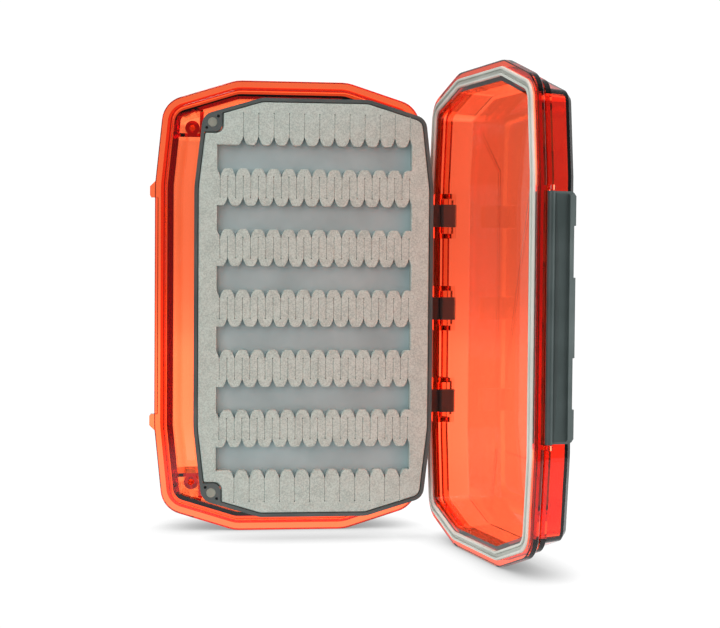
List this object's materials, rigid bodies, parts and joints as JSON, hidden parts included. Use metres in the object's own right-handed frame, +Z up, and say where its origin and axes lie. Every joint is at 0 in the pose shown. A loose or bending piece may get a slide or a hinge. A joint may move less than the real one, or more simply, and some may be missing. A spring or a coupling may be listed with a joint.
{
  "type": "fly box",
  "caption": "Clamshell fly box in translucent plastic with a sealed rim, side latch, pinned hinge and a swing leaf of slotted foam.",
  "frame": {"origin": "middle of the flat lower end of the base's rim flange, on the surface the open box stands on", "axes": "+Z up along the length of the box and along all its hinge axes; +X across the base to its hinge side; the open face of the base looks to -Y and its flat back to +Y"},
  "size_m": [0.1241, 0.1256, 0.155],
  "materials": {
    "shell_base": "translucent orange, glossy",
    "shell_lid": "translucent orange-red, glossy",
    "seal": "matt moulded",
    "dark_plastic": "satin moulded",
    "clip_plastic": "satin moulded",
    "frame_plastic": "satin moulded",
    "plate_plastic": "satin moulded",
    "foam": "closed-cell foam, fine grain",
    "magnet": "nickel-plated",
    "steel": "drawn wire"
  },
  "bodies": {
    "base": {"base_shell": "shell_base", "hinge_pin_upper": "steel", "hinge_pin_middle": "steel", "hinge_pin_lower": "steel"},
    "lid": {"lid_shell": "shell_lid", "lid_gasket": "seal", "latch_pin": "shell_lid", "leaf_clip_upper": "clip_plastic", "leaf_clip_middle": "clip_plastic", "leaf_clip_lower": "clip_plastic"},
    "leaf": {"leaf_frame": "frame_plastic", "leaf_plate": "plate_plastic", "foam_front": "foam", "foam_back": "foam", "leaf_pin_upper": "steel", "leaf_pin_middle": "steel", "leaf_pin_lower": "steel", "leaf_magnet_upper": "magnet", "leaf_magnet_lower": "magnet"},
    "latch": {"latch": "dark_plastic"}
  },
  "joints": [
    {"name": "lid_hinge", "type": "hinge", "parent": "base", "child": "lid", "pos_m": [0.0496, -0.0057, 0.0775], "axis": [0, 0, 1], "range_deg": [-100, 30]},
    {"name": "leaf_hinge", "type": "hinge", "parent": "lid", "child": "leaf", "pos_m": [0.0448, -0.01763, 0.0775], "axis": [0, 0, 1], "range_deg": [-30, 100]},
    {"name": "latch_hinge", "type": "hinge", "parent": "lid", "child": "latch", "pos_m": [0.06683, -0.10085, 0.0775], "axis": [0, 0, 1], "range_deg": [-180, 0]}
  ],
  "couplings": [
    {"joint": "leaf_hinge", "follows": "lid_hinge", "ratio": -1}
  ]
}
